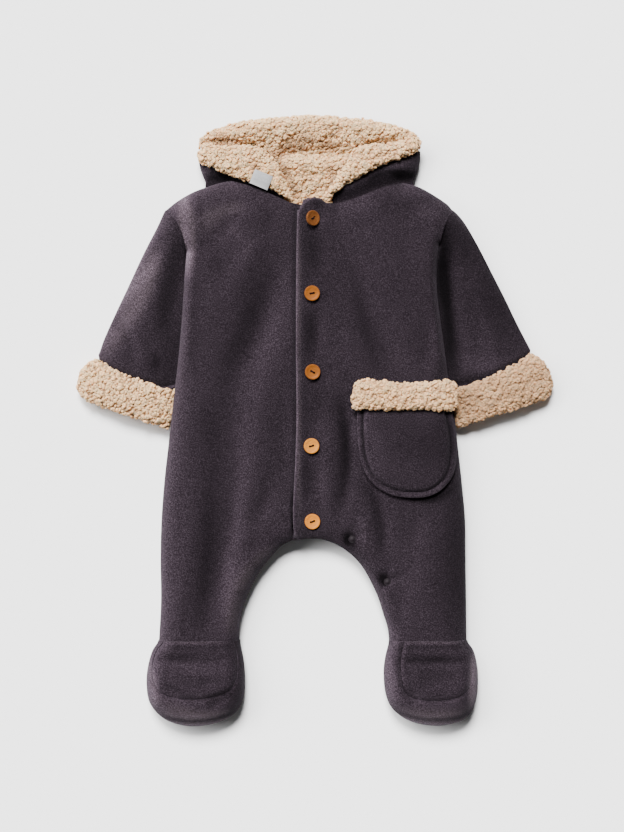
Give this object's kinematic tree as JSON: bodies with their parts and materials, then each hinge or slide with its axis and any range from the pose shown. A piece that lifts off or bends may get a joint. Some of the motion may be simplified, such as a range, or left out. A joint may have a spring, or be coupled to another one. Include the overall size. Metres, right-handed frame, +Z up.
{
  "type": "fleece pramsuit",
  "caption": "Hooded baby pramsuit with closed feet, in dark fleece with a cream curly pile inside, laid flat on its back, with a buttoned front placket and a patch pocket.",
  "frame": {"origin": "centre of the suit's outline, on the surface that it lies on", "axes": "+X to the wearer's left, +Y from the feet to the hood, +Z up out of the front"},
  "size_m": [0.476, 0.6097, 0.04],
  "materials": {
    "fleece": "matt brushed fleece, dark aubergine grey",
    "pile": "curly sherpa pile, warm cream",
    "wood": "satin lacquered light brown wood",
    "stud": "cloth-covered snap, dark",
    "satin": "silver-grey satin ribbon, bare"
  },
  "bodies": {
    "root": {"back": "fleece", "front_left": "fleece", "front_right": "fleece", "sleeve_left": "fleece", "sleeve_right": "fleece", "cuff_left": "pile", "cuff_right": "pile", "hood_back": "fleece", "hood_side_left": "fleece", "hood_side_right": "fleece", "hood_pile": "pile", "hood_lapel_left": "pile", "hood_lapel_right": "pile", "neck_pile": "pile", "pocket": "fleece", "pocket_band": "pile", "foot_top_left": "fleece", "foot_top_right": "fleece", "foot_band_left": "fleece", "foot_band_right": "fleece", "sole_left": "fleece", "sole_right": "fleece", "button_1": "wood", "button_2": "wood", "button_3": "wood", "button_4": "wood", "button_5": "wood", "stud_1": "stud", "stud_2": "stud", "label": "satin"}
  },
  "joints": []
}
